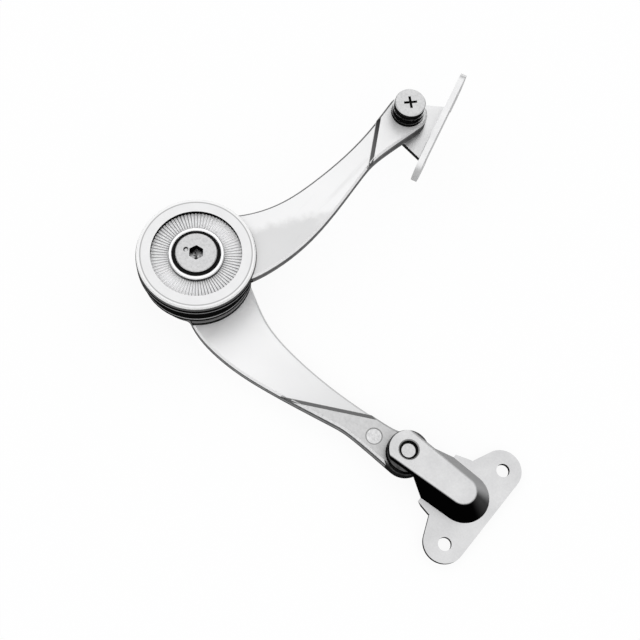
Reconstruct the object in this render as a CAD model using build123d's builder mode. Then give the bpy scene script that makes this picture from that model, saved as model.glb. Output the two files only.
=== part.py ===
from build123d import *
from math import atan, cos, degrees, hypot, radians, sin, tan
import os

# Lid stay with a friction elbow.
#
# Frame: the back of the cabinet bracket is the plane Z = 0 and +Z points away from the panel.
# The origin is midway between the bracket's two screw holes, which lie on the Y axis.
# The nose of the bracket, and with it the lower arm, points to -X.

# ---------------------------------------------------------------- cabinet bracket
sheet = 2.0                 # steel sheet of both brackets
screw_pitch = 32.0          # distance between the two screw holes of each bracket
screw_hole_r = 2.25
lobe_r = 7.0                # rounded ends of the cabinet flange
lobe_inset = 0.5            # the lobe centres lie this far towards the middle from the holes
lobe_set_back = 0.5         # and this far towards the nose
waist_x = -10.1             # hollow corner between the flange and the nose
waist_half = 11.75
waist_r = 1.0
nose_root_r = 0.5
nose_x = -28.0              # cabinet pivot
nose_y = -1.85
nose_r = 6.5
nose_top = 11.6             # outer face of the pressed nose
dome_foot_x = -5.3          # the pressed dome ends in a leaning cone; its centre and radius at the foot
dome_foot_y = -0.2
dome_foot_r = 8.5
dome_top_x = -6.9           # and at the flat top
dome_top_y = -1.0
dome_top_r = 4.4
dome_near_flare = 8.0       # slope of the dome's two sides in plan
dome_far_flare = 4.5
dome_bend = 1.2             # rounding of the dome's top edge
dome_wall = 1.8             # sheet thinned by the pressing
mouth_foot = 14.4           # the side walls are trimmed from here, counted from the pivot,
mouth_top = 6.1             # up to here under the nose

# ---------------------------------------------------------------- arms
lower_reach = 94.1          # cabinet pivot to elbow
lower_angle = 178.77        # direction of the elbow, seen from the cabinet pivot
upper_reach = 91.4          # elbow to lid pivot
upper_angle = 78.2          # direction of the lid pivot, seen from the elbow
arm_edge = 0.7              # bevel of the arms' top edges, less than the pads' rise
arm_root_fillet = 2.5       # blend between an arm and its round hub
arm_root_sink = 1.0         # the arm's edges start this far inside the hub
pad_rise = 0.8              # room on each tongue for its raised pad, which is not made here

lower_arm_base = 0.8        # underside of the lower arm above the panel
lower_arm_thick = 4.3
lower_hub_r = 16.4
lower_tip_r = 7.3
lower_tip_angle = 132.0     # where the round tip runs into the inner edge

# The arms' edges: each depth is measured from the line between the pivots, and each place along it
# from the elbow, or from the far pivot where it is named a reach.
lower_root_out = -58.4      # where the outer edge leaves the hub
lower_belly = 16.75         # deepest point of the outer edge
lower_belly_at = 24.5
lower_flank = 14.6
lower_flank_reach = 50.0
lower_neck = 8.75
lower_neck_reach = 25.0
lower_throat = 3.0          # inner edge, from the tip towards the hub
lower_throat_reach = 12.0
lower_back = 0.4
lower_back_reach = 44.0
lower_crook = 2.7
lower_crook_at = 30.5
lower_root_in = 53.5        # where the inner edge meets the hub
lower_out_slope = -0.6      # fall of the two edges where they leave the hub
lower_in_slope = 0.4
lower_step_out = 46.0       # ends of the pad's step on the two edges, from the cabinet pivot
lower_step_in = 8.5

upper_arm_thick = 4.3
upper_tip_r = 7.1
upper_tip_angle = 108.0
upper_root_out = -68.0
upper_belly = 18.5
upper_belly_at = 19.5
upper_flank = 16.3
upper_flank_reach = 51.0
upper_neck = 8.8
upper_neck_reach = 26.0
upper_throat = 1.65
upper_throat_reach = 20.0
upper_back = 1.35           # this one is hollowed past the line between the pivots
upper_back_reach = 43.5
upper_crook = 0.45          # and this one too
upper_crook_at = 31.0
upper_root_in = 18.5
upper_out_slope = -0.35
upper_in_slope = 0.75
upper_step_out = 25.2
upper_step_in = 7.6

# ---------------------------------------------------------------- brake drum
boss_rise = 2.0             # round boss on the lower arm
boss_r = 18.9
gasket_thick = 1.9
gasket_r = 17.5
stator_thick = 2.0
ring_r = 18.9               # stator and housing
ring_edge = 0.3
ring_gap = 0.2              # groove between them
housing_height = 5.7
housing_bore_r = 14.8
drum_r = 19.95              # round end of the upper arm
drum_face_r = 19.2
drum_face_rise = 1.8        # drum face above the arm's plate
drum_rim_drop = 1.7         # height of the rim's shoulder, which has two bevels
drum_rim_mid_drop = 0.6     # where they meet, below the face
drum_rim_mid_r = 19.7
drum_inset = 1.2            # the arm's own hub ends this far inside the drum
pocket_r = 15.1             # pocket for the fluted cover
pocket_depth = 3.6
flute_count = 80
flute_top_drop = 1.5        # crests below the drum face at the outer edge
flute_cone = 0.4            # further drop towards the collar
flute_depth = 0.7           # at the outer edge, less towards the axis
flute_overlap = 1.04        # neighbouring grooves meet in a sharp crest
collar_r = 9.3
collar_wall = 1.25
collar_edge = 0.3
collar_inner_edge = 0.2
seal_drop = 0.5             # seal below the drum face
cover_floor = 1.0
lining_thick = 1.4
lining_r = 14.5
plate_thick = 2.0
spring_thick = 0.9
spring_height = 1.25        # disc spring, pressed nearly flat
spring_r = 12.0
spring_seat_r = 13.0        # flat washer on top of it

# ---------------------------------------------------------------- adjuster
adjuster_r = 4.0            # shank
adjuster_head_r = 6.9
adjuster_proud = 0.55       # head above the collar
adjuster_edge = 0.25
socket_flats = 4.5
socket_depth = 3.2
socket_angle = 9.87         # direction of the socket's first flat
dimple_r = 0.75
dimple_at = 3.5
dimple_angle = 204.0
dimple_depth = 0.5
nut_flats = 13.0
nut_thick = 3.2
adjuster_end = 0.5          # shank end above the nut's outer face

# ---------------------------------------------------------------- cabinet pivot
rivet_r = 3.0               # shoulder that the tongue turns on
rivet_neck_r = 2.3          # end that is set in the nose
rivet_set = 0.55            # height of that end above the underside of the nose
rivet_head_r = 5.0
rivet_head_thick = 1.2
nose_well_r = 3.1           # well around the rivet's end
nose_well_lip = 0.4         # bevel of its mouth
nose_hole_land = 0.3
pivot_washer_r = 7.0
pivot_mid_r = 6.5

# ---------------------------------------------------------------- lid bracket and its pivot
lid_flange_angle = 105.15   # direction of the lid flange
lid_flange_face = 13.2      # lid face from the pivot axis
lid_flange_length = 45.2
lid_flange_height = 13.0
lid_flange_shift = 0.4      # middle of the flange from the pivot, along the flange
lid_web_half = 11.65        # half width of the web at the flange
lid_nose_r = 7.0
lid_bend_r = 1.0            # inner radius of the bend
lid_washer_base_thick = 0.4
lid_washer_base_r = 6.6
lid_root_r = 0.5            # corners of the web at the flange
lid_bush_r = 3.5
lid_bush_wall = 1.0
lid_screw_head_r = 5.4
lid_screw_head_thick = 1.5
lid_screw_rise = 7.0        # head face above the tongue pad
lid_screw_edge = 0.35
lid_washer_r = (5.8, 5.45, 5.75, 5.3)
recess_span = 4.6           # cross recess
recess_slot = 0.9
recess_depth = 1.2
recess_angle = 48.0
recess_taper = 8.0

# ---------------------------------------------------------------- clearances
running = 0.05              # radial clearance of every pivot
play = 0.05                 # axial clearance between faces that turn on each other
apart = 0.3                 # clearance between round faces of different bodies

# ---------------------------------------------------------------- levels and places
lower_top = lower_arm_base + lower_arm_thick
lower_pad_top = lower_top + pad_rise
boss_top = lower_top + boss_rise
gasket_top = boss_top + gasket_thick
stator_top = gasket_top + stator_thick
housing_base = stator_top + ring_gap
upper_base = stator_top + ring_gap + housing_height
upper_top = upper_base + upper_arm_thick
upper_pad_top = upper_top + pad_rise
drum_face = upper_top + drum_face_rise
pocket_floor = drum_face - pocket_depth
cover_top = pocket_floor + cover_floor
collar_inner_r = collar_r - collar_wall
adjuster_top = drum_face + adjuster_proud
nose_under = nose_top - sheet
rivet_seat = lower_arm_base + rivet_head_thick + play
stack_base = lower_pad_top + play
web_top = upper_base - lid_washer_base_thick
web_base = web_top - sheet
lid_screw_top = upper_pad_top + lid_screw_rise
lid_head_base = lid_screw_top - lid_screw_head_thick

elbow_x = nose_x + lower_reach * cos(radians(lower_angle))
elbow_y = nose_y + lower_reach * sin(radians(lower_angle))
lid_x = elbow_x + upper_reach * cos(radians(upper_angle))
lid_y = elbow_y + upper_reach * sin(radians(upper_angle))


def level(x, y, z, angle=0.0):
    """Horizontal plane at height z, with its origin at (x, y) and its x axis turned by angle."""
    return Plane(origin=(x, y, z), x_dir=(cos(radians(angle)), sin(radians(angle)), 0), z_dir=(0, 0, 1))


# The arms are drawn with the elbow at (0, 0) and the other pivot at (reach, 0).
lower_plane = level(elbow_x, elbow_y, lower_arm_base, lower_angle + 180)
upper_plane = level(elbow_x, elbow_y, upper_base, upper_angle)


def arm_outline(reach, hub_r, tip_r, tip_angle, root_out, root_in, outer_points, inner_points, slopes):
    """Plan of an arm: a round hub, a bellied outer edge, a hollow inner edge and a round tip."""
    tip_x = cos(radians(tip_angle))
    tip_y = sin(radians(tip_angle))
    root_r = hub_r - arm_root_sink
    outer_root = (root_r * cos(radians(root_out)), root_r * sin(radians(root_out)))
    inner_root = (root_r * cos(radians(root_in)), root_r * sin(radians(root_in)))
    tip_end = (reach + tip_r * tip_x, tip_r * tip_y)
    with BuildSketch(mode=Mode.PRIVATE) as outline:
        with BuildLine():
            outer = Spline(outer_root, *outer_points, (reach, -tip_r), tangents=[(1, slopes[0]), (1, 0)])
            CenterArc((reach, 0), tip_r, -90, tip_angle + 90)
            inner = Spline(tip_end, *inner_points, inner_root, tangents=[(-tip_y, tip_x), (-1, slopes[1])])
            Line(inner @ 1, outer @ 0)
        make_face()
        Circle(hub_r)
        corners = outline.vertices().filter_by(lambda v: abs(hypot(v.X, v.Y) - hub_r) < 0.01)
        fillet(corners, arm_root_fillet)
    return outline.sketch


def pad_region(reach, outer_end, inner_end):
    """Region beyond the step line that runs from one edge of the arm to the other."""
    with BuildSketch(mode=Mode.PRIVATE) as region:
        with BuildLine():
            Polyline(
                outer_end, inner_end, (reach + drum_r, 2 * drum_r), (reach + drum_r, -2 * drum_r),
                close=True,
            )
        make_face()
    return region.sketch


def top_edges(part, z):
    """Outline edges of a part's upper face at height z, leaving its round bores out."""
    level_faces = part.faces().filter_by(Axis.Z).filter_by(lambda f: abs(f.center().Z - z) < 0.01)
    return level_faces.sort_by(SortBy.AREA)[-1].outer_wire().edges()


def arm_blank(plan, plane, thick, region, bore_r, reach):
    """Flat arm whose top edge is bevelled up to the step line and square on the tongue beyond it."""
    with BuildPart(mode=Mode.PRIVATE) as slab:
        with BuildSketch(plane):
            add(plan)
        extrude(amount=thick)
        chamfer(top_edges(slab, plane.origin.Z + thick), arm_edge)
    with BuildPart(mode=Mode.PRIVATE) as beyond:
        with BuildSketch(plane):
            add(region)
        extrude(amount=thick)
    with BuildPart(mode=Mode.PRIVATE) as tongue:
        with BuildSketch(plane):
            add(plan)
        extrude(amount=thick + pad_rise)
        add(beyond.part, mode=Mode.INTERSECT)
    with BuildPart(mode=Mode.PRIVATE) as blank:
        add(slab.part)
        add(tongue.part)
        with BuildSketch(plane):
            with Locations((reach, 0)):
                Circle(bore_r)
        extrude(amount=thick, mode=Mode.SUBTRACT)
    return blank.part


def ring(x, y, z, outer_r, inner_r, thick, edge=0.0):
    """Plain round washer or ring, with its outer edges broken if asked."""
    with BuildPart(mode=Mode.PRIVATE) as washer:
        with BuildSketch(level(x, y, z)):
            Circle(outer_r)
            Circle(inner_r, mode=Mode.SUBTRACT)
        extrude(amount=thick)
        if edge:
            circles = washer.edges().filter_by(GeomType.CIRCLE)
            chamfer(circles.filter_by(lambda e: abs(e.radius - outer_r) < 0.001), edge)
    return washer.part


def disc_spring(x, y, z, outer_r, inner_r, thick, height):
    """Conical spring washer between z and z + height, with its inner edge up."""
    rise = height - thick
    with BuildPart(mode=Mode.PRIVATE) as spring:
        with BuildSketch(Plane(origin=(x, y, z), x_dir=(1, 0, 0), z_dir=(0, -1, 0))):
            with BuildLine():
                Polyline((inner_r, rise), (outer_r, 0), (outer_r, thick), (inner_r, height), close=True)
            make_face()
        revolve(axis=Axis((x, y, z), (0, 0, 1)))
    return spring.part


def flat_sided(near_corners, far_corners):
    """Solid between two matching polygons, closed by flat four-cornered sides."""
    faces = [Face(Wire.make_polygon(near_corners)), Face(Wire.make_polygon(far_corners))]
    for i in range(len(near_corners)):
        corners = (near_corners[i - 1], near_corners[i], far_corners[i], far_corners[i - 1])
        faces.append(Face(Wire.make_polygon(corners)))
    return Solid(Shell(faces))


def keep(part, label):
    """Name a finished piece and write it as its own file."""
    part.label = label
    export_step(part, "parts/" + label + ".step")
    return part


os.makedirs("parts", exist_ok=True)


# ================================================================ cabinet bracket
with BuildSketch(Plane.XY) as flange_plan:
    with BuildSketch(mode=Mode.PRIVATE) as flange_hull:
        lobe_y = screw_pitch / 2 - lobe_inset
        with Locations((-lobe_set_back, lobe_y), (-lobe_set_back, -lobe_y)):
            Circle(lobe_r)
        with Locations((waist_x + waist_r, waist_half - waist_r), (waist_x + waist_r, waist_r - waist_half)):
            Circle(waist_r)
        make_hull()
    with BuildSketch(mode=Mode.PRIVATE) as nose_hull:
        with Locations((nose_x, nose_y)):
            Circle(nose_r)
        with Locations((waist_x, waist_half - nose_root_r), (waist_x, nose_root_r - waist_half)):
            Circle(nose_root_r)
        make_hull()
    add(flange_hull.sketch)
    add(nose_hull.sketch)


def dome_form(inset):
    """Pressed dome up to its flat top: a leaning cone with two flat sides that run past the nose."""
    rise = nose_top - sheet
    lean = Vector(dome_top_x - dome_foot_x, dome_top_y - dome_foot_y, rise)
    taper = degrees(atan((dome_foot_r - dome_top_r) / lean.length))
    below = 2 * sheet
    above = rise
    start = Vector(dome_foot_x, dome_foot_y, sheet) - lean.normalized() * below
    base_r = dome_foot_r - inset + below * tan(radians(taper))
    far = dome_foot_x - nose_x + 2 * (below + rise)
    near_slope = tan(radians(dome_near_flare))
    far_slope = tan(radians(dome_far_flare))
    near_end = (base_r * sin(radians(dome_near_flare)), -base_r * cos(radians(dome_near_flare)))
    far_end = (base_r * sin(radians(dome_far_flare)), base_r * cos(radians(dome_far_flare)))
    with BuildPart(mode=Mode.PRIVATE) as form:
        with BuildSketch(Plane(origin=start, x_dir=(1, 0, -lean.X / lean.Z), z_dir=lean)):
            with BuildLine():
                ThreePointArc(near_end, (base_r, 0), far_end)
                Polyline(
                    far_end, (-far, far_end[1] + (far_end[0] + far) * far_slope),
                    (-far, near_end[1] - (near_end[0] + far) * near_slope), near_end,
                )
            make_face()
        extrude(amount=below + lean.length + above, taper=taper)
        with BuildSketch(Plane.XY):
            Rectangle(2 * far + 4 * screw_pitch, 2 * far + 4 * screw_pitch)
        extrude(amount=nose_top - inset, mode=Mode.INTERSECT)
    return form.part


with BuildPart() as dome:
    add(dome_form(0.0))
    fillet(dome.faces().sort_by(Axis.Z)[-1].outer_wire().edges(), dome_bend)

with BuildPart() as cabinet_bracket:
    with BuildSketch(Plane.XY):
        add(flange_plan.sketch)
    extrude(amount=sheet)
    add(dome.part)
    with BuildSketch(Plane.XY):
        add(flange_plan.sketch)
    extrude(amount=nose_top, mode=Mode.INTERSECT)
    add(dome_form(dome_wall), mode=Mode.SUBTRACT)
    # The arm swings in a mouth under the nose, with its walls trimmed at a slant.
    with BuildSketch(Plane.XZ):
        with BuildLine():
            Polyline(
                (nose_x + mouth_foot, 0), (nose_x + mouth_top, nose_under), (nose_x - 2 * nose_r, nose_under),
                (nose_x - 2 * nose_r, 0), close=True,
            )
        make_face()
    extrude(amount=screw_pitch, both=True, mode=Mode.SUBTRACT)
    with BuildSketch(Plane.XY):
        with Locations((0, screw_pitch / 2), (0, -screw_pitch / 2)):
            Circle(screw_hole_r)
    extrude(amount=sheet, mode=Mode.SUBTRACT)
    # Hole for the rivet, with a well above it that has a bevelled mouth.
    with BuildSketch(level(nose_x, nose_y, nose_under)):
        Circle(rivet_neck_r)
    extrude(amount=sheet, mode=Mode.SUBTRACT)
    with BuildSketch(Plane(origin=(nose_x, nose_y, nose_under), x_dir=(1, 0, 0), z_dir=(0, -1, 0))):
        with BuildLine():
            Polyline(
                (0, sheet), (0, nose_hole_land), (nose_well_r, nose_hole_land),
                (nose_well_r, sheet - nose_well_lip), (nose_well_r + nose_well_lip, sheet), close=True,
            )
        make_face()
    revolve(axis=Axis((nose_x, nose_y, 0), (0, 0, 1)), mode=Mode.SUBTRACT)
keep(cabinet_bracket.part, "cabinet_bracket")

with BuildPart() as pivot_rivet:
    with BuildSketch(level(nose_x, nose_y, lower_arm_base)):
        Circle(rivet_head_r)
    extrude(amount=rivet_head_thick)
    with BuildSketch(level(nose_x, nose_y, lower_arm_base)):
        Circle(rivet_r)
    extrude(amount=nose_under - lower_arm_base)
    with BuildSketch(level(nose_x, nose_y, nose_under)):
        Circle(rivet_neck_r)
    extrude(amount=rivet_set)
keep(pivot_rivet.part, "pivot_rivet")

washer_step = (nose_under - stack_base) / 3
keep(ring(nose_x, nose_y, stack_base, pivot_washer_r, rivet_r, washer_step), "pivot_washer_low")
keep(ring(nose_x, nose_y, stack_base + washer_step, pivot_mid_r, rivet_r, washer_step), "pivot_washer_mid")
keep(
    ring(nose_x, nose_y, stack_base + 2 * washer_step, pivot_washer_r, rivet_r, washer_step),
    "pivot_washer_top",
)

# ================================================================ lower arm
lower_plan = arm_outline(
    lower_reach, lower_hub_r, lower_tip_r, lower_tip_angle, lower_root_out, lower_root_in,
    [
        (lower_belly_at, -lower_belly), (lower_reach - lower_flank_reach, -lower_flank),
        (lower_reach - lower_neck_reach, -lower_neck),
    ],
    [
        (lower_reach - lower_throat_reach, lower_throat), (lower_reach - lower_back_reach, lower_back),
        (lower_crook_at, lower_crook),
    ],
    (lower_out_slope, lower_in_slope),
)
lower_region = pad_region(
    lower_reach, (lower_reach - lower_step_out, -lower_flank), (lower_reach - lower_step_in, lower_tip_r),
)

with BuildPart() as lower_arm:
    add(arm_blank(lower_plan, lower_plane, lower_arm_thick, lower_region, rivet_r + running, lower_reach))
    with BuildSketch(lower_plane):
        add(lower_plan)
        Circle(boss_r, mode=Mode.INTERSECT)
    extrude(amount=lower_arm_thick + boss_rise)
    with BuildSketch(level(nose_x, nose_y, lower_arm_base)):
        Circle(rivet_head_r + apart)
    extrude(amount=rivet_seat - lower_arm_base, mode=Mode.SUBTRACT)
    with BuildSketch(lower_plane):
        Circle(adjuster_r + running)
    extrude(amount=lower_arm_thick + boss_rise, mode=Mode.SUBTRACT)
    with BuildSketch(lower_plane):
        RegularPolygon(nut_flats / 2, 6, major_radius=False)
    extrude(amount=nut_thick, mode=Mode.SUBTRACT)
keep(lower_arm.part, "lower_arm")

with BuildPart() as base_nut:
    with BuildSketch(lower_plane):
        RegularPolygon(nut_flats / 2, 6, major_radius=False)
        Circle(adjuster_r + running, mode=Mode.SUBTRACT)
    extrude(amount=nut_thick)
keep(base_nut.part, "base_nut")

keep(ring(elbow_x, elbow_y, boss_top, gasket_r, adjuster_r + apart, gasket_thick), "base_gasket")
keep(ring(elbow_x, elbow_y, gasket_top, ring_r, adjuster_r + apart, stator_thick, ring_edge), "stator_ring")
keep(ring(elbow_x, elbow_y, stator_top, lining_r, adjuster_r + apart, lining_thick), "brake_lining")

# ================================================================ upper arm and drum
upper_plan = arm_outline(
    upper_reach, drum_r - drum_inset, upper_tip_r, upper_tip_angle, upper_root_out, upper_root_in,
    [
        (upper_belly_at, -upper_belly), (upper_reach - upper_flank_reach, -upper_flank),
        (upper_reach - upper_neck_reach, -upper_neck),
    ],
    [
        (upper_reach - upper_throat_reach, upper_throat), (upper_reach - upper_back_reach, -upper_back),
        (upper_crook_at, -upper_crook),
    ],
    (upper_out_slope, upper_in_slope),
)
upper_region = pad_region(
    upper_reach, (upper_reach - upper_step_out, -upper_neck), (upper_reach - upper_step_in, upper_tip_r),
)

with BuildPart() as upper_arm:
    add(arm_blank(upper_plan, upper_plane, upper_arm_thick, upper_region, lid_bush_r + running, upper_reach))
    with BuildSketch(Plane(origin=(elbow_x, elbow_y, upper_base), x_dir=(1, 0, 0), z_dir=(0, -1, 0))):
        with BuildLine():
            face_z = drum_face - upper_base
            Polyline(
                (0, 0), (drum_r, 0), (drum_r, face_z - drum_rim_drop),
                (drum_rim_mid_r, face_z - drum_rim_mid_drop), (drum_face_r, face_z), (0, face_z),
                close=True,
            )
        make_face()
    revolve(axis=Axis((elbow_x, elbow_y, 0), (0, 0, 1)))
    with BuildSketch(level(elbow_x, elbow_y, pocket_floor)):
        Circle(pocket_r)
    extrude(amount=pocket_depth, mode=Mode.SUBTRACT)
    with BuildSketch(upper_plane):
        Circle(adjuster_r + running)
    extrude(amount=upper_arm_thick + drum_face_rise, mode=Mode.SUBTRACT)
keep(upper_arm.part, "upper_arm")

keep(ring(elbow_x, elbow_y, housing_base, ring_r, housing_bore_r, housing_height, ring_edge), "housing_ring")

plate_base = stator_top + lining_thick + play
spring_base = plate_base + plate_thick
spring_seat = spring_base + spring_height
disc_bore_r = adjuster_r + apart
keep(ring(elbow_x, elbow_y, plate_base, housing_bore_r, disc_bore_r, plate_thick), "pressure_plate")
keep(
    disc_spring(elbow_x, elbow_y, spring_base, spring_r, disc_bore_r, spring_thick, spring_height),
    "disc_spring",
)
keep(ring(elbow_x, elbow_y, spring_seat, spring_seat_r, disc_bore_r, upper_base - spring_seat), "spring_seat")

# The cover's serrations are V grooves that narrow towards the axis, each as wide as its pitch.
crest_z = drum_face - flute_top_drop
flute_half = 180.0 / flute_count
flute_ends = []
for radius in (collar_r * cos(radians(flute_half)), pocket_r + 1.0):
    half = radius * sin(radians(flute_half)) * flute_overlap
    depth = flute_depth * radius / pocket_r
    top = crest_z - flute_cone * (pocket_r - radius) / (pocket_r - collar_r)
    flute_ends.append([
        Vector(radius, -half, top), Vector(radius, 0, top - depth), Vector(radius, half, top),
        Vector(radius, half, top + sheet), Vector(radius, -half, top + sheet),
    ])
flute_tool = flat_sided(flute_ends[0], flute_ends[1])

with BuildPart() as fluted_cover:
    with BuildSketch(Plane(origin=(0, 0, 0), x_dir=(1, 0, 0), z_dir=(0, -1, 0))):
        with BuildLine():
            Polyline(
                (adjuster_r + apart, pocket_floor), (pocket_r, pocket_floor), (pocket_r, crest_z),
                (collar_r, crest_z - flute_cone), (collar_r, drum_face - collar_edge),
                (collar_r - collar_edge, drum_face), (collar_inner_r + collar_inner_edge, drum_face),
                (collar_inner_r, drum_face - collar_inner_edge),
                (collar_inner_r, cover_top),
                (adjuster_r + apart, cover_top), close=True,
            )
        make_face()
    revolve(axis=Axis.Z)
    with PolarLocations(0, flute_count):
        add(flute_tool, mode=Mode.SUBTRACT)
placed_cover = fluted_cover.part.moved(Location((elbow_x, elbow_y, 0)))
keep(placed_cover, "fluted_cover")

seal_height = drum_face - cover_top - seal_drop
keep(
    ring(elbow_x, elbow_y, cover_top, collar_inner_r, adjuster_head_r + running, seal_height),
    "seal_ring",
)

# ================================================================ adjuster
with BuildPart() as brake_adjuster:
    with BuildSketch(level(elbow_x, elbow_y, cover_top + play)):
        Circle(adjuster_head_r)
    extrude(amount=adjuster_top - cover_top - play)
    chamfer(brake_adjuster.faces().sort_by(Axis.Z)[-1].outer_wire().edges(), adjuster_edge)
    with BuildSketch(level(elbow_x, elbow_y, lower_arm_base + adjuster_end)):
        Circle(adjuster_r)
    extrude(amount=cover_top + play - lower_arm_base - adjuster_end)
    with BuildSketch(level(elbow_x, elbow_y, adjuster_top, socket_angle)):
        RegularPolygon(socket_flats / 2, 6, major_radius=False)
    extrude(amount=-socket_depth, mode=Mode.SUBTRACT)
    dimple_x = elbow_x + dimple_at * cos(radians(dimple_angle))
    dimple_y = elbow_y + dimple_at * sin(radians(dimple_angle))
    with BuildSketch(level(dimple_x, dimple_y, adjuster_top)):
        Circle(dimple_r)
    extrude(amount=-dimple_depth, mode=Mode.SUBTRACT)
keep(brake_adjuster.part, "brake_adjuster")

# ================================================================ lid bracket and its pivot
# The flange's plane: x along the flange, y up, and the normal away from the pivot.
flange_dir = Vector(cos(radians(lid_flange_angle)), sin(radians(lid_flange_angle)), 0)
flange_normal = Vector(sin(radians(lid_flange_angle)), -cos(radians(lid_flange_angle)), 0)
lid_axis = Vector(lid_x, lid_y, 0)
flange_inner = lid_flange_face - sheet
flange_top = web_base + lid_flange_height
flange_end_r = lid_flange_height / 2
web_plane = level(lid_x, lid_y, web_base, lid_flange_angle - 90)

with BuildPart() as lid_bracket:
    # Web and flange as one bent strip.
    with BuildSketch(Plane(origin=lid_axis + Vector(0, 0, web_base), x_dir=flange_normal, z_dir=-flange_dir)):
        with BuildLine():
            Polyline(
                (-lid_nose_r, 0), (lid_flange_face, 0), (lid_flange_face, lid_flange_height),
                (flange_inner, lid_flange_height), (flange_inner, sheet), (-lid_nose_r, sheet), close=True,
            )
        make_face()
    extrude(amount=lid_web_half, both=True)
    bends = lid_bracket.edges().filter_by(Axis(lid_axis, flange_dir))
    inner_bend = bends.sort_by_distance(lid_axis + flange_normal * flange_inner + Vector(0, 0, web_top))[0]
    fillet(inner_bend, lid_bend_r)
    bends = lid_bracket.edges().filter_by(Axis(lid_axis, flange_dir))
    bend_place = lid_axis + flange_normal * lid_flange_face + Vector(0, 0, web_base)
    outer_bend = bends.sort_by_distance(bend_place)[0]
    fillet(outer_bend, lid_bend_r + sheet)
    with BuildSketch(web_plane):
        Circle(lid_nose_r)
        root_x = flange_inner - lid_root_r
        with Locations((root_x, lid_web_half - lid_root_r), (root_x, lid_root_r - lid_web_half)):
            Circle(lid_root_r)
        make_hull()
        with Locations((lid_flange_face, 0)):
            Rectangle(2 * sheet, 2 * lid_web_half)
    extrude(amount=lid_flange_height, mode=Mode.INTERSECT)
    # Rounded ends of the flange beyond the web, clear of the bend.
    flange_origin = lid_axis + flange_normal * flange_inner + flange_dir * lid_flange_shift
    flange_plane = Plane(
        origin=flange_origin + Vector(0, 0, web_base + lid_flange_height / 2),
        x_dir=flange_dir,
        z_dir=flange_normal,
    )
    with BuildSketch(flange_plane):
        SlotOverall(lid_flange_length, lid_flange_height)
        with Locations((-lid_flange_shift, 0)):
            Rectangle(2 * lid_web_half, lid_flange_height, mode=Mode.SUBTRACT)
    extrude(amount=sheet)
    with BuildSketch(flange_plane):
        with Locations((screw_pitch / 2, 0), (-screw_pitch / 2, 0)):
            Circle(screw_hole_r)
    extrude(amount=sheet, mode=Mode.SUBTRACT)
    with BuildSketch(web_plane):
        Circle(lid_bush_r - lid_bush_wall)
    extrude(amount=sheet, mode=Mode.SUBTRACT)
keep(lid_bracket.part, "lid_bracket")

screw_r = lid_bush_r - lid_bush_wall
keep(ring(lid_x, lid_y, web_top, lid_washer_base_r, screw_r, lid_washer_base_thick - play), "lid_washer_base")
keep(
    ring(lid_x, lid_y, upper_base - play, lid_bush_r, screw_r, upper_pad_top - upper_base + 2 * play),
    "lid_bush",
)

stack_z = upper_pad_top + play
stack_pitch = (lid_head_base - stack_z) / len(lid_washer_r)
for name, radius in zip("abcd", lid_washer_r):
    keep(ring(lid_x, lid_y, stack_z, radius, screw_r, stack_pitch), "lid_washer_" + name)
    stack_z += stack_pitch

with BuildPart() as lid_screw:
    with BuildSketch(level(lid_x, lid_y, lid_head_base)):
        Circle(lid_screw_head_r)
    extrude(amount=lid_screw_head_thick)
    chamfer(lid_screw.faces().sort_by(Axis.Z)[-1].outer_wire().edges(), lid_screw_edge)
    with BuildSketch(level(lid_x, lid_y, web_base)):
        Circle(screw_r)
    extrude(amount=lid_head_base - web_base)
    with BuildSketch(level(lid_x, lid_y, lid_screw_top, recess_angle)):
        Rectangle(recess_span, recess_slot)
        Rectangle(recess_slot, recess_span)
    extrude(amount=-recess_depth, taper=recess_taper, mode=Mode.SUBTRACT)
keep(lid_screw.part, "lid_screw")
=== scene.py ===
import math

import bmesh
import bpy
from mathutils import Matrix, Vector


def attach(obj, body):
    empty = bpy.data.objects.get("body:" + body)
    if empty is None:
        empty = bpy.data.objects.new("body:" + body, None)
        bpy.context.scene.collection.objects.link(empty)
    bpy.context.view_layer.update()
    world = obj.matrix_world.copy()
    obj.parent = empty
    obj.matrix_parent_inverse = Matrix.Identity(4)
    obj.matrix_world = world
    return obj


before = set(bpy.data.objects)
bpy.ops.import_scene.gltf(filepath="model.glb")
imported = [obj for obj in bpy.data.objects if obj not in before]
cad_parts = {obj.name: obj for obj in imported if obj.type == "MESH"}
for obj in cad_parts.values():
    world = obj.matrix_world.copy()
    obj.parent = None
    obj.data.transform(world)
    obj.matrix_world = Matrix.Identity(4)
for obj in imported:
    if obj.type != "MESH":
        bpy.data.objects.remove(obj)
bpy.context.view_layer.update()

# Lengths are in metres and a pivot is a point in plan, as the frame has them.
ELBOW = (-0.122078, 0.00017)
CABINET_PIVOT = (-0.028, -0.00185)
LID_PIVOT = (-0.103387, 0.089638)
LOWER_PLATE_TOP = 0.0051
UPPER_PLATE_TOP = 0.0212

BOSS_RADIUS = 0.0192
BOSS_LEDGE = (0.00690, 0.00700)  # heights between which the boss's ledge begins
DRUM_RADIUS = 0.0203
# height of a painted highlight line round the drum's wall
DRUM_LINE_HEIGHT = 0.0192
DRUM_FACE_RADIUS = 0.0184
DRUM_BEVELS = ((0.22, 0.10), (0.64, 0.97))  # lean and painted tone of its low bevel's shade and its high bevel's highlight
SERRATION_COUNT = 80
SERRATION_START = (0.00925, 0.0094)  # radii between which the serrations begin
LOWER_TIP_RADIUS = 0.0078
NOSE_WELL_RADIUS = 0.00312
NOSE_WELL_TOP = 0.01149
HEXAGON_SOCKET = {"radius": 0.0030, "top": 0.0233}
CROSS_RECESS = {"radius": 0.0028, "top": 0.0288}

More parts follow.
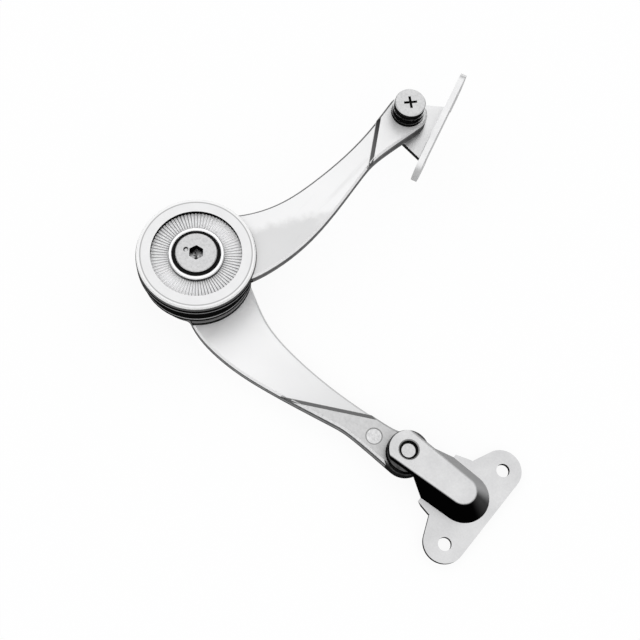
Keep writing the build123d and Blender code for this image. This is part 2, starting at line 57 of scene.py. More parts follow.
DIMPLE_REACH = 0.0035
DIMPLE_TURN = math.radians(204.0)
DIMPLE_RADIUS = 0.00072
DIMPLE_SHADE_DEEP = -0.0002  # distances along X from its middle between which the painted shade on its rim fades
DIMPLE_SHADE_FAINT = 0.0004
ADJUSTER_DIMPLE = (
    ELBOW[0] + DIMPLE_REACH * math.cos(DIMPLE_TURN),
    ELBOW[1] + DIMPLE_REACH * math.sin(DIMPLE_TURN),
)

LID_FLANGE_TURN = math.radians(105.15)
LID_FLANGE_FULL = -0.0112  # distances aside of the lid pivot between which the flange begins
LID_FLANGE_NONE = -0.0108

# The tongue pads: a step line across each arm, given from the tip's pivot back along the arm and
# out to the side, and the pad's rise, rim bevel and step width.
LOWER_STEP = ((0.0460, -0.0146), (0.0085, 0.0073))
UPPER_STEP = ((0.0252, -0.0088), (0.0076, 0.0071))
PAD_RISE = 0.0008
PAD_EDGE = 0.0007
PAD_SLOPE = 0.0015
PAD_SINK = 0.00002  # how deep the pad's foot lies in the arm
LOWER_BORE = 0.00305
UPPER_BORE = 0.00355
BORE_SIDES = 48
EJECTOR_MARK = (0.01175, -0.00278)
EJECTOR_MARK_RADIUS = 0.0027
EJECTOR_MARK_DEPTH = 0.00015
EJECTOR_FLOOR_RADIUS = 0.0025

# Tolerances for reading an arm's outline from its mesh.
FLAT_NORMAL = 0.999
SAME_HEIGHT = 0.00001
SAME_POINT = 0.000001
ON_STEP_LINE = 0.00002
STRAIGHT_TURN = 0.02  # sine of the turn below which two sides count as one line


def in_plan(pivot, place):
    """Point of the plan given from an arm's far pivot, back towards the elbow and out to the side."""
    towards = (Vector(pivot) - Vector(ELBOW)).normalized()
    side = Vector((-towards.y, towards.x))
    return Vector(pivot) - towards * place[0] + side * place[1]


# ---------------------------------------------------------------- finishes
RADIUS_FADE = 0.00005    # half the width over which a radius mask fades
HEIGHT_FADE = 0.00004    # the same for a height mask
PLATE_MARGIN = 0.00005   # how far over the upper plate its mask reaches
BROAD = (0.3, 0.7)       # spans of a noise's values that a ramp takes up
NARROW = (0.35, 0.65)
SPECULAR = 0.5           # specular level of a plain metal face
BEVEL_LEAN = 0.707       # lean of a 45 degree bevel
STEP_LEAN = 0.882        # lean of a pad's sloped step
STEP_SHADE_DEEPENS = (0.80, 0.90)  # shares of the way to the pivot between which the upper step's painted shade deepens
FAR_EDGE = (-0.6, 0.8)   # direction in plan of the arms' far edges
SHADED_WALL_LEANS = (0.30, 0.50)  # lean between which the painted shade of an arm's, a ring's or a boss's wall gives way to its face
SIDE_GLEAM = (-0.95, -0.55, 0.28, 0.004)  # how a drum wall's painted gleam falls to painted shade as it turns away from -X
FINE_LINE = (0.00012, 0.00030)  # how far a fine line is full, and where it is gone
# black of the painted shade on the lower arm's tip walls and on turned steel's walls
PAINTED_SHADE_BLACK = 0.012
# grey of the painted shade on the upper arm's belly and round its drum face's edge
PAINTED_SHADE_GREY = 0.30
MIX_SHARE, MIX_BELOW, MIX_ABOVE, MIX_RESULT = 0, 6, 7, 2  # sockets of a Mix node that mixes colours


def neutral(tone):
    """Plain grey colour."""
    return (tone, tone, tone, 1)


class Nodes:
    """A node tree and the plain steps that build it."""

    def __init__(self, tree):
        self.tree = tree

    def node(self, kind, **settings):
        made = self.tree.nodes.new(kind)
        for key, value in settings.items():
            setattr(made, key, value)
        return made

    def link(self, source, target):
        """Feed a socket with another socket, or with a plain value."""
        if isinstance(source, bpy.types.NodeSocket):
            self.tree.links.new(source, target)
        else:
            target.default_value = source

    def compute(self, operation, *values):
        made = self.node("ShaderNodeMath", operation=operation)
        for value, target in zip(values, made.inputs):
            self.link(value, target)
        return made.outputs[0]

    def times(self, first, second):
        return self.compute("MULTIPLY", first, second)

    def plus(self, first, second):
        return self.compute("ADD", first, second)

    def minus(self, first, second):
        return self.compute("SUBTRACT", first, second)

    def apart(self, first, second):
        """How far two values are apart."""
        return self.compute("ABSOLUTE", self.minus(first, second))


class Finish(Nodes):
    """A metal, rubber or lining surface whose patterns sit on Object coordinates."""

    def __init__(self, name, metallic=1.0):
        self.material = bpy.data.materials.new(name)
        self.material.use_nodes = True
        super().__init__(self.material.node_tree)
        self.tree.nodes.clear()
        self.output = self.node("ShaderNodeOutputMaterial")
        self.surface = self.node("ShaderNodeBsdfPrincipled")
        self.surface.inputs["Metallic"].default_value = metallic
        self.link(self.surface.outputs["BSDF"], self.output.inputs["Surface"])
        self.place = self.node("ShaderNodeTexCoord")
        self.where = self.node("ShaderNodeSeparateXYZ")
        self.link(self.place.outputs["Object"], self.where.inputs["Vector"])
        self.facing = self.node("ShaderNodeSeparateXYZ")
        self.link(self.place.outputs["Normal"], self.facing.inputs["Vector"])

    def ramp(self, value, start, end, low=0.0, high=1.0, soft=False):
        """Value carried from start..end to low..high and held at both ends."""
        spread = self.node("ShaderNodeMapRange", interpolation_type="SMOOTHSTEP" if soft else "LINEAR")
        self.link(value, spread.inputs["Value"])
        self.link(start, spread.inputs["From Min"])
        self.link(end, spread.inputs["From Max"])
        self.link(low, spread.inputs["To Min"])
        self.link(high, spread.inputs["To Max"])
        return spread.outputs["Result"]

    def line_at(self, value, middle, full, gone, strength=1.0):
        """Strength where a value is within full of the middle, and 0 where it is further than gone."""
        return self.ramp(self.apart(value, middle), full, gone, strength, 0.0)

    def noise(self, scale, detail=3.0, roughness=0.5, stretch=(1, 1, 1), shift=(0, 0, 0)):
        mapping = self.node("ShaderNodeMapping")
        mapping.inputs["Scale"].default_value = stretch
        mapping.inputs["Location"].default_value = shift
        self.link(self.place.outputs["Object"], mapping.inputs["Vector"])
        grain = self.node("ShaderNodeTexNoise")
        grain.inputs["Scale"].default_value = scale
        grain.inputs["Detail"].default_value = detail
        grain.inputs["Roughness"].default_value = roughness
        self.link(mapping.outputs["Vector"], grain.inputs["Vector"])
        return grain.outputs["Fac"]

    def grey(self, value, dark=0.0, light=1.0):
        """Metal colour, a little blue, between two greys that follows a value."""
        return self.blend(value, (dark, dark, dark * 1.01, 1), (light, light, light * 1.005, 1))

    def blend(self, mask, below, above):
        """Colour below where the mask is 0 and above where it is 1."""
        mix = self.node("ShaderNodeMix", data_type="RGBA")
        self.link(mask, mix.inputs[MIX_SHARE])
        self.link(below, mix.inputs[MIX_BELOW])
        self.link(above, mix.inputs[MIX_ABOVE])
        return mix.outputs[MIX_RESULT]

    def lean(self):
        """1 on faces square to the pivots and 0 on walls."""
        return self.compute("ABSOLUTE", self.facing.outputs["Z"])

    def level(self):
        """Mask of the faces square to the pivots."""
        return self.ramp(self.lean(), 0.95, 0.99)

    def walls(self, steep=0.45, flat=0.62):
        """Mask of the walls: 1 up to the steep lean and 0 from the flat one."""
        return self.ramp(self.lean(), steep, flat, 1.0, 0.0, soft=True)

    def slopes(self, middle, half_width):
        """Mask of the faces whose lean is near the middle value."""
        return self.line_at(self.lean(), middle, half_width * 0.6, half_width)

    def radius_from(self, axis):
        along_x = self.minus(self.where.outputs["X"], axis[0])
        along_y = self.minus(self.where.outputs["Y"], axis[1])
        squares = self.plus(self.compute("POWER", along_x, 2.0), self.compute("POWER", along_y, 2.0))
        return self.compute("SQRT", squares)

    def inside(self, axis, radius):
        return self.ramp(self.radius_from(axis), radius - RADIUS_FADE, radius + RADIUS_FADE, 1.0, 0.0)

    def below(self, height):
        return self.ramp(self.where.outputs["Z"], height - HEIGHT_FADE, height + HEIGHT_FADE, 1.0, 0.0)

    def above(self, height):
        return self.minus(1.0, self.below(height))

    def bump(self, value, distance, strength):
        made = self.node("ShaderNodeBump")
        made.inputs["Strength"].default_value = strength
        made.inputs["Distance"].default_value = distance
        self.link(value, made.inputs["Height"])
        self.link(made.outputs["Normal"], self.surface.inputs["Normal"])

    def walls_without_gloss(self, walls, metal=1.0):
        """Walls lose metal and gloss so that painted shade shows on them; the rest stays metal."""
        self.link(self.ramp(walls, 0.0, 1.0, metal, 0.0), self.surface.inputs["Metallic"])
        self.link(self.ramp(walls, 0.0, 1.0, SPECULAR, 0.0), self.surface.inputs["Specular IOR Level"])

    def sideways(self, axis, start, end, low, high):
        """Value that follows how far a face looks along X or Y."""
        return self.ramp(self.facing.outputs[axis], start, end, low, high, soft=True)

    def facing_far_edge(self):
        """Positive on faces that look out of the arms' far edges, and negative opposite."""
        along_x = self.times(self.facing.outputs["X"], FAR_EDGE[0])
        return self.plus(along_x, self.times(self.facing.outputs["Y"], FAR_EDGE[1]))

    def across_plan(self, start, direction):
        """Distance from the start point in a direction of the plan, times the direction's length."""
        along_x = self.times(self.minus(self.where.outputs["X"], start[0]), direction.x)
        along_y = self.times(self.minus(self.where.outputs["Y"], start[1]), direction.y)
        return self.plus(along_x, along_y)

    def distance_along(self, start, end):
        """0 at the start point and 1 at the end point, on a straight line in plan."""
        run = Vector((end[0] - start[0], end[1] - start[1]))
        return self.compute("DIVIDE", self.across_plan(start, run), run.length_squared)

    def distance_aside(self, start, end):
        """Distance to the left of the straight line from start to end, in plan."""
        run = Vector((end[0] - start[0], end[1] - start[1])).normalized()
        return self.across_plan(start, Vector((-run.y, run.x)))

    def finished(self, colour, roughness):
        self.link(colour, self.surface.inputs["Base Color"])
        self.link(roughness, self.surface.inputs["Roughness"])
        return self.material


# Each arm's casting: its far pivot, the two tones of its walls' painted shade, and the height of a
# painted band along the middle of the walls with its tone as a share of theirs.
LOWER_CASTING = {"pivot": CABINET_PIVOT, "walls": (0.09, 0.13), "band": (0.0026, 2.2)}
UPPER_CASTING = {"pivot": LID_PIVOT, "walls": (0.15, 0.21), "band": (0.0190, 0.7)}
BAND_CORE = 0.0002   # how far the painted band is full from its middle, and where it ends
BAND_EDGE = 0.0013
DIMS_UNTIL = 0.95    # share of the way to the pivot at which the faces' painted light has dimmed
HAZE = 0.02          # how much the faces' tone wanders either way
RIM_TURN = (0.05, 0.35)  # turn towards the far edge between which a rim's painted highlight gives way to its painted shade


def arm_plating(name, casting, dims_from, tones, rims):
    """Plating over a casting, as its finish, its colour and its roughness.

    Its faces carry painted light that dims from one tone to the next between drum and tip, its walls
    carry painted shade and lose their gloss, and its rims carry a painted highlight in their first tone
    on the near side and painted shade in their second on the far one.
    """
    finish = Finish(name)
    haze = finish.noise(28.0, detail=4.0, roughness=0.55)
    along = finish.distance_along(ELBOW, casting["pivot"])
    # painted light on the faces, dimming from the drum towards the tip
    tone = finish.ramp(along, dims_from, DIMS_UNTIL, *tones)
    tone = finish.plus(tone, finish.ramp(haze, *NARROW, -HAZE, HAZE))
    scuffs = finish.noise(260.0, detail=4.0, roughness=0.6)
    # painted shade on the walls, with a painted band along their middle
    band_height, band_share = casting["band"]
    off_band = finish.apart(finish.where.outputs["Z"], band_height)
    wall_shade_tone = finish.times(
        finish.ramp(scuffs, *NARROW, *casting["walls"]),
        finish.ramp(off_band, BAND_CORE, BAND_EDGE, band_share, 1.0, soft=True),
    )
    walls = finish.walls(*SHADED_WALL_LEANS)
    # painted highlight on the near bevelled rims and painted shade on the far ones
    painted_rim_tone = finish.ramp(finish.facing_far_edge(), *RIM_TURN, *rims, soft=True)
    colour = finish.blend(walls, finish.grey(tone), finish.grey(wall_shade_tone))
    colour = finish.blend(finish.slopes(BEVEL_LEAN, 0.06), colour, finish.grey(painted_rim_tone))
    finish.walls_without_gloss(walls, metal=0.5)
    finish.bump(finish.noise(70.0, detail=2.0), 0.00001, 0.15)
    return finish, colour, finish.ramp(scuffs, *BROAD, 0.36, 0.44)


def shaded_tip_walls(finish, colour):
    """Painted black shade on the lower arm's walls round the rivet."""
    tip = finish.times(finish.inside(CABINET_PIVOT, LOWER_TIP_RADIUS), finish.walls(0.75, 0.90))
    return finish.blend(tip, colour, neutral(PAINTED_SHADE_BLACK))


def plated_lower_arm():
    """The lower arm's plating, with painted shade: black on the boss's wall and grey on its ledge."""
    finish, colour, gloss = arm_plating("plated_lower_arm", LOWER_CASTING, 0.22, (1.0, 0.64), (0.95, 0.60))
    colour = shaded_tip_walls(finish, colour)
    # painted black shade on the boss's wall and painted grey shade on its ledge under the drum
    in_boss = finish.inside(ELBOW, BOSS_RADIUS)
    boss = finish.times(finish.times(in_boss, finish.walls(*SHADED_WALL_LEANS)), finish.above(LOWER_PLATE_TOP))
    colour = finish.blend(boss, colour, neutral(0.006))
    ledge = finish.times(in_boss, finish.ramp(finish.where.outputs["Z"], *BOSS_LEDGE))
    ledge = finish.times(ledge, finish.level())
    return finish.finished(finish.blend(ledge, colour, neutral(0.40)), gloss)


def plated_lower_pad():
    """The lower pad's plating has a coarser grain, a round mark and a grey slope of painted shade."""
    finish, colour, gloss = arm_plating("plated_lower_pad", LOWER_CASTING, 0.5, (0.70, 0.62), (0.92, 0.40))
    colour = shaded_tip_walls(finish, colour)
    grain = finish.noise(900.0, detail=5.0, roughness=0.65)
    colour = finish.blend(finish.ramp(grain, 0.40, 0.80, 0.0, 0.30), colour, neutral(0.25))
    dint = in_plan(CABINET_PIVOT, EJECTOR_MARK)
    rim = finish.line_at(finish.radius_from(dint), EJECTOR_MARK_RADIUS, *FINE_LINE, 0.75)
    colour = finish.blend(rim, colour, neutral(0.22))
    floor = finish.grey(finish.ramp(grain, *NARROW), 0.62, 0.86)
    colour = finish.blend(finish.inside(dint, EJECTOR_FLOOR_RADIUS), colour, floor)
    # painted grey shade on the pad's sloped step
    colour = finish.blend(finish.slopes(STEP_LEAN, 0.05), colour, neutral(0.16))
    return finish.finished(colour, gloss)


BELLY_RAGGED = 0.0016      # how far the belly's edge wanders either way
BELLY_FALL = 0.033         # how far that edge falls from drum to tip
BELLY_EDGE = (0.0010, 0.0056)  # distances aside between which the belly's shade fades
BELLY_END = (0.42, 0.58)   # shares of the way to the pivot between which it ends
BELLY_END_RAGGED = 20.0    # how much more ragged that end is, as a share of the way
BELLY_SHADE = 0.30
STREAK_SPAN = (0.56, 0.70)
STREAK_SHADE = 0.12


def shaded_belly(finish, cloud):
    """How much painted shade the upper arm shows: over its belly near the drum, and in faint streaks."""
    along = finish.distance_along(ELBOW, LID_PIVOT)
    aside = finish.distance_aside(ELBOW, LID_PIVOT)
    falling = finish.plus(aside, finish.times(along, BELLY_FALL))
    belly = finish.ramp(finish.plus(falling, cloud), *BELLY_EDGE, 1.0, 0.0, soft=True)
    ragged_way = finish.plus(along, finish.times(cloud, BELLY_END_RAGGED))
    near_drum = finish.ramp(ragged_way, *BELLY_END, 1.0, 0.0)
    streaks = finish.noise(55.0, detail=4.0, roughness=0.6, stretch=(6, 0.6, 0), shift=(0.3, 0.1, 0))
    shade = finish.times(finish.times(belly, near_drum), BELLY_SHADE)
    return finish.plus(shade, finish.ramp(streaks, *STREAK_SPAN, 0.0, STREAK_SHADE))


def plated_upper_arm():
    """Upper arm plating with painted shade and highlights on the drum's wall, bevels and face edge."""
    finish, colour, gloss = arm_plating("plated_upper_arm", UPPER_CASTING, 0.15, (0.90, 0.87), (0.95, 0.14))
    cloud = finish.noise(170.0, detail=4.0, roughness=0.6, stretch=(1, 1, 0))
    cloud = finish.ramp(cloud, *BROAD, -BELLY_RAGGED, BELLY_RAGGED)
    plate = finish.times(finish.below(UPPER_PLATE_TOP + PLATE_MARGIN), finish.level())
    # painted grey shade over the plate's belly and in streaks
    colour = finish.blend(finish.times(shaded_belly(finish, cloud), plate), colour, neutral(PAINTED_SHADE_GREY))
    in_drum = finish.inside(ELBOW, DRUM_RADIUS)
    # the drum's wall: painted shade, lighter as it faces -X, with a painted highlight line
    side = finish.sideways("X", *SIDE_GLEAM)
    painted_highlight_line = finish.line_at(finish.where.outputs["Z"], DRUM_LINE_HEIGHT, 0.00010, 0.00028, 0.34)
    side = finish.grey(finish.plus(side, painted_highlight_line))
    colour = finish.blend(finish.times(in_drum, finish.walls(0.15, 0.20)), colour, side)
    # painted shade on the drum's low bevel and a painted highlight on its high one
    for bevel_lean, tone in DRUM_BEVELS:
        bevel = finish.times(in_drum, finish.slopes(bevel_lean, 0.08))
        colour = finish.blend(bevel, colour, neutral(tone))
    face = finish.times(finish.inside(ELBOW, DRUM_FACE_RADIUS), finish.level())
    face_tone = finish.grey(finish.ramp(cloud, -BELLY_RAGGED, BELLY_RAGGED), 0.81, 0.86)
    colour = finish.blend(face, colour, face_tone)
    # a thin line of painted shade round the face's edge
    painted_shade_line = finish.line_at(finish.radius_from(ELBOW), DRUM_FACE_RADIUS, *FINE_LINE, 0.7)
    return finish.finished(finish.blend(painted_shade_line, colour, neutral(PAINTED_SHADE_GREY)), gloss)


def plated_upper_pad():
    """The upper pad's slope has painted shade, deepening to black where it meets the far edge."""
    finish, colour, gloss = arm_plating("plated_upper_pad", UPPER_CASTING, 0.5, (0.87, 0.87), (0.95, 0.14))
    towards = finish.distance_along(ELBOW, LID_PIVOT)
    slope = finish.grey(finish.ramp(towards, *STEP_SHADE_DEEPENS, 0.10, 0.006))
    return finish.finished(finish.blend(finish.slopes(STEP_LEAN, 0.05), colour, slope), gloss)


def ring_plating():
    """Turned rings of the brake: walls of painted near-black shade, paler to the left, and grey faces."""
    finish = Finish("ring_plating")
    turning = finish.noise(45.0, detail=2.0, stretch=(1, 1, 0.2), shift=(0.02, 0.01, 0))
    # painted shade on the walls, lighter as they face -X
    side = finish.sideways("X", *SIDE_GLEAM)
    side = finish.plus(side, finish.ramp(turning, 0.55, 0.75, 0.0, 0.03))
    marks = finish.noise(700.0, stretch=(1, 1, 8))
    faces = finish.grey(finish.ramp(marks, *BROAD), 0.26, 0.38)
    walls = finish.walls(*SHADED_WALL_LEANS)
    finish.walls_without_gloss(walls)
    finish.bump(marks, 0.000006, 0.3)
    colour = finish.blend(walls, faces, finish.grey(side))
    return finish.finished(colour, finish.ramp(marks, *BROAD, 0.22, 0.32))


def serrated_plating():
    """Plated cover: painted shade in the serrations' grooves and on the walls, and a bright collar."""
    finish = Finish("serrated_plating")
    along_x = finish.minus(finish.where.outputs["X"], ELBOW[0])
    along_y = finish.minus(finish.where.outputs["Y"], ELBOW[1])
    radius = finish.radius_from(ELBOW)
    pitch = finish.times(finish.compute("ARCTAN2", along_y, along_x), SERRATION_COUNT / math.tau)
    across = finish.compute("FRACT", finish.plus(pitch, 0.5))
    groove = finish.ramp(finish.apart(across, 0.5), 0.06, 0.22, 1.0, 0.0, soft=True)
    band = finish.ramp(radius, *SERRATION_START)
    wear = finish.noise(500.0, detail=4.0)
    faces = finish.grey(finish.ramp(wear, *BROAD), 0.97, 1.0)
    # painted shade in the grooves, deeper where they run along X
    towards_x = finish.compute("ABSOLUTE", finish.compute("DIVIDE", along_x, radius))
    dark = finish.grey(finish.ramp(towards_x, 0.2, 0.9, 0.86, 0.34))
    colour = finish.blend(finish.times(groove, band), faces, dark)
    # painted black shade on the walls
    colour = finish.blend(finish.walls(0.10, 0.20), colour, neutral(0.008))
    finish.link(finish.minus(1.0, finish.times(band, 0.65)), finish.surface.inputs["Metallic"])
    finish.bump(wear, 0.000006, 0.3)
    return finish.finished(colour, finish.ramp(wear, *BROAD, 0.32, 0.42))


def bracket_steel(name, dark, light, dome=False):
    """Satin plated sheet steel with fine rolled grain; painted shade on its walls and in the dome's well."""
    finish = Finish(name)
    grain = finish.noise(1500.0, detail=4.0, roughness=0.6)
    clouds = finish.noise(110.0, detail=4.0, roughness=0.55)
    tone = finish.plus(finish.times(grain, 0.35), finish.times(clouds, 0.65))
    faces = finish.grey(finish.ramp(tone, *NARROW), dark, light)
    # painted shade on the walls: on the dome lighter as they face +Y, else black and grey on the flange
    if dome:
        sides = finish.grey(finish.sideways("Y", 0.30, 0.75, 0.001, 0.34))
    else:
        along_flange = (LID_PIVOT[0] + math.cos(LID_FLANGE_TURN), LID_PIVOT[1] + math.sin(LID_FLANGE_TURN))
        aside = finish.distance_aside(LID_PIVOT, along_flange)
        flange = finish.ramp(aside, LID_FLANGE_FULL, LID_FLANGE_NONE, 1.0, 0.0)
        sides = finish.blend(flange, neutral(0.02), neutral(0.55))
    walls = finish.walls(0.50, 0.90)
    finish.walls_without_gloss(walls)
    colour = finish.blend(walls, faces, sides)
    if dome:
        # painted black shade in the nose's well
        well = finish.times(finish.inside(CABINET_PIVOT, NOSE_WELL_RADIUS), finish.below(NOSE_WELL_TOP))
        colour = finish.blend(well, colour, neutral(0.01))
    finish.bump(grain, 0.00001, 0.3)
    return finish.finished(colour, finish.ramp(tone, *BROAD, 0.28, 0.40))


def turned_steel(name, axis=None, recess=None, recess_floor=0.02, dimple=None):
    """Satin turned steel; painted shade on its walls, inside a driver recess and on a dimple's rim."""
    finish = Finish(name)
    marks = finish.noise(1300.0, detail=4.0, roughness=0.6)
    faces = finish.grey(finish.ramp(marks, *NARROW), 0.58, 0.70)
    walls = finish.walls()
    finish.walls_without_gloss(walls)
    # painted black shade on the walls
    colour = finish.blend(walls, faces, neutral(PAINTED_SHADE_BLACK))
    if recess:
        # painted shade inside the driver recess: on its floor, and black on its walls
        hollow = finish.times(finish.inside(axis, recess["radius"]), finish.below(recess["top"]))
        floor = finish.grey(finish.ramp(finish.noise(700.0), 0.45, 0.60), 0.02, recess_floor)
        colour = finish.blend(hollow, colour, finish.blend(walls, floor, neutral(0.004)))
    if dimple:
        # a crescent of painted shade on the dimple's rim, deepest on its left
        crescent = finish.line_at(finish.radius_from(dimple), DIMPLE_RADIUS, 0.00010, 0.00030, 0.9)
        x = finish.where.outputs["X"]
        left = finish.ramp(x, dimple[0] + DIMPLE_SHADE_DEEP, dimple[0] + DIMPLE_SHADE_FAINT, 1.0, 0.15)
        colour = finish.blend(finish.times(crescent, left), colour, neutral(0.015))
    finish.bump(marks, 0.00001, 0.3)
    return finish.finished(colour, finish.ramp(marks, *BROAD, 0.26, 0.38))


def washer_steel(name, dark, light):
    """Washers: walls of painted black shade, and brighter faces that show as thin rims."""
    finish = Finish(name)
    film = finish.noise(600.0, detail=4.0)
    faces = finish.grey(finish.ramp(film, *BROAD), dark, light)
    # painted black shade on the walls
    sides = finish.grey(finish.ramp(film, *BROAD), 0.002, 0.006)
    walls = finish.walls()
    finish.walls_without_gloss(walls)
    finish.bump(film, 0.00001, 0.3)
    return finish.finished(finish.blend(walls, faces, sides), finish.ramp(film, *BROAD, 0.22, 0.36))


def friction_lining():
    """Dark fibrous lining."""
    finish = Finish("friction_lining", metallic=0.0)
    fibres = finish.noise(1800.0, detail=6.0, roughness=0.7)
    finish.bump(fibres, 0.00006, 0.5)
    colour = finish.grey(finish.ramp(fibres, *BROAD), 0.012, 0.035)
    return finish.finished(colour, finish.ramp(fibres, *BROAD, 0.6, 0.85))


def black_rubber():
    """Matt black rubber of the seal."""
    finish = Finish("black_rubber", metallic=0.0)
    skin = finish.noise(900.0)
    finish.surface.inputs["Specular IOR Level"].default_value = 0.15
    finish.bump(skin, 0.00003, 0.3)
    colour = finish.grey(finish.ramp(skin, *BROAD), 0.002, 0.006)
    return finish.finished(colour, finish.ramp(skin, *BROAD, 0.6, 0.75))


washers = washer_steel("washer_steel", 0.75, 0.95)
pivot_washers = washer_steel("pivot_washer_steel", 0.02, 0.12)
rings = ring_plating()
lining = friction_lining()
plain_turned = turned_steel("turned_steel")
finish_of_node = {
    "cabinet_bracket": bracket_steel("cabinet_bracket_steel", 0.62, 0.74, dome=True),
    "pivot_rivet": plain_turned,
    "pivot_washer_low": pivot_washers,
    "pivot_washer_mid": pivot_washers,
    "pivot_washer_top": pivot_washers,
    "lower_arm": plated_lower_arm(),
    "base_nut": plain_turned,
    "base_gasket": lining,
    "stator_ring": rings,
    "brake_lining": lining,
    "upper_arm": plated_upper_arm(),
    "housing_ring": rings,
    "pressure_plate": plain_turned,
    "disc_spring": washers,
    "spring_seat": plain_turned,
    "fluted_cover": serrated_plating(),
    "seal_ring": black_rubber(),
    "brake_adjuster": turned_steel("adjuster_steel", ELBOW, HEXAGON_SOCKET, 0.55, ADJUSTER_DIMPLE),
    "lid_bracket": bracket_steel("lid_bracket_steel", 0.76, 0.88),
    "lid_screw": turned_steel("screw_steel", LID_PIVOT, CROSS_RECESS),
    "lid_bush": plain_turned,
    "lid_washer_base": washers,
    "lid_washer_a": washers,
    "lid_washer_b": washers,
    "lid_washer_c": washers,
    "lid_washer_d": washers,
}
for node_name, material in finish_of_node.items():
    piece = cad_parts[node_name]
    piece.data.materials.clear()
    piece.data.materials.append(material)


# ---------------------------------------------------------------- tongue pads
def object_of(form, name):
    """Object in the scene with the form as its mesh."""
    mesh = bpy.data.meshes.new(name)
    form.to_mesh(mesh)
    form.free()
    made = bpy.data.objects.new(name, mesh)
    bpy.context.scene.collection.objects.link(made)
    return made


def tip_outline(arm, top, line_start, across):
    """Closed outline of an arm's flat top on the tip's side of the step line, anticlockwise."""
    plan = bmesh.new()
    plan.from_mesh(arm.data)
    bmesh.ops.remove_doubles(plan, verts=plan.verts, dist=SAME_POINT)
    off_top = [
        face for face in plan.faces
        if face.normal.z < FLAT_NORMAL or abs(face.calc_center_median().z - top) > SAME_HEIGHT
    ]
    bmesh.ops.delete(plan, geom=off_top, context="FACES")
    bmesh.ops.bisect_plane(
        plan, geom=plan.verts[:] + plan.edges[:] + plan.faces[:], dist=SAME_POINT,
        plane_co=(line_start.x, line_start.y, top), plane_no=(across.x, across.y, 0), clear_inner=True,
    )
    on_rim = [corner for corner in plan.verts if corner.is_boundary]
    first = max(on_rim, key=lambda corner: corner.co.xy.dot(across))
    loop, current, last = [first], first, None
    while True:
        last = next(edge for edge in current.link_edges if edge.is_boundary and edge != last)
        current = last.other_vert(current)
        if current == first:
            break
        loop.append(current)
    points = [corner.co.xy.copy() for corner in loop]
    plan.free()
    twice_area = sum(points[i - 1].cross(points[i]) for i in range(len(points)))
    return points if twice_area > 0 else points[::-1]


def pulled_in(points, amounts):
    """Outline with each side moved inwards by its own amount; side i runs from point i to the next."""
    moved = []
    for i, point in enumerate(points):
        before = (point - points[i - 1]).normalized()
        after = (points[(i + 1) % len(points)] - point).normalized()
        inward_after = Vector((-after.y, after.x))
        shift = Vector((-before.y, before.x)) * amounts[i - 1]
        if abs(before.cross(after)) > STRAIGHT_TURN:
            slide = (inward_after * amounts[i] - shift).dot(inward_after) / before.dot(inward_after)
            shift = shift + before * slide
        else:
            shift = (shift + inward_after * amounts[i]) / 2
        moved.append(point + shift)
    return moved


def tongue_pad(name, arm, body, pivot, top, step, bore, material, mark=None):
    """Raised pad on an arm's tongue, with the arm's own outline, a bevelled rim and a sloped step."""
    outer_end, inner_end = (in_plan(pivot, place) for place in step)
    line = (inner_end - outer_end).normalized()
    across = Vector((line.y, -line.x))
    rim = tip_outline(arm, top, outer_end, across)
    on_line = [abs((point - outer_end).dot(across)) < ON_STEP_LINE for point in rim]
    step_side = [on_line[i] and on_line[(i + 1) % len(rim)] for i in range(len(rim))]
    upright = PAD_RISE - PAD_EDGE
    shoulder = pulled_in(rim, [PAD_SLOPE * upright / PAD_RISE if side else 0.0 for side in step_side])
    crown = pulled_in(rim, [PAD_SLOPE if side else PAD_EDGE for side in step_side])
    form = bmesh.new()

    def outline_at(points, height):
        corners = [form.verts.new((point.x, point.y, height)) for point in points]
        return [form.edges.new((corners[i - 1], corners[i])) for i in range(len(corners))]

    def circle_at(centre, radius, height):
        level = Matrix.Translation((centre.x, centre.y, height))
        circle = bmesh.ops.create_circle(form, segments=BORE_SIDES, radius=radius, matrix=level)
        corners = circle["verts"]
        return [form.edges.get((corners[i - 1], corners[i])) for i in range(BORE_SIDES)]

    low, high = top - PAD_SINK, top + PAD_RISE
    foot_edges = outline_at(rim, low)
    shoulder_edges = outline_at(shoulder, top + upright)
    crown_edges = outline_at(crown, high)
    centre = Vector(pivot)
    bore_low, bore_high = circle_at(centre, bore, low), circle_at(centre, bore, high)
    holes = list(bore_high)
    walls = [(foot_edges, shoulder_edges), (shoulder_edges, crown_edges), (bore_low, bore_high)]
    if mark:
        spot = in_plan(pivot, mark)
        mark_rim = circle_at(spot, EJECTOR_MARK_RADIUS, high)
        mark_floor = circle_at(spot, EJECTOR_MARK_RADIUS, high - EJECTOR_MARK_DEPTH)
        walls.append((mark_floor, mark_rim))
        holes += mark_rim
    for lower, upper in walls:
        bmesh.ops.bridge_loops(form, edges=lower + upper)
    if mark:
        bmesh.ops.edgeloop_fill(form, edges=mark_floor)
    bmesh.ops.triangle_fill(form, use_beauty=True, edges=crown_edges + holes)
    bmesh.ops.triangle_fill(form, use_beauty=True, edges=foot_edges + bore_low)
    bmesh.ops.recalc_face_normals(form, faces=form.faces)
    pad = object_of(form, name)
    pad.data.materials.append(material)
    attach(pad, body)


tongue_pad(
    "lower_tongue_pad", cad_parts["lower_arm"], "lower_link", CABINET_PIVOT, LOWER_PLATE_TOP,
    LOWER_STEP, LOWER_BORE, plated_lower_pad(), EJECTOR_MARK,
)
tongue_pad(
    "upper_tongue_pad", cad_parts["upper_arm"], "upper_link", LID_PIVOT, UPPER_PLATE_TOP,
    UPPER_STEP, UPPER_BORE, plated_upper_pad(),
)


# ---------------------------------------------------------------- floor, light and camera
FLOOR_SIZE = 40.0
FLOOR_HEIGHT = -0.0005
FLOOR_GLOW = 0.9  # share of the floor that glows for the eye and in reflections

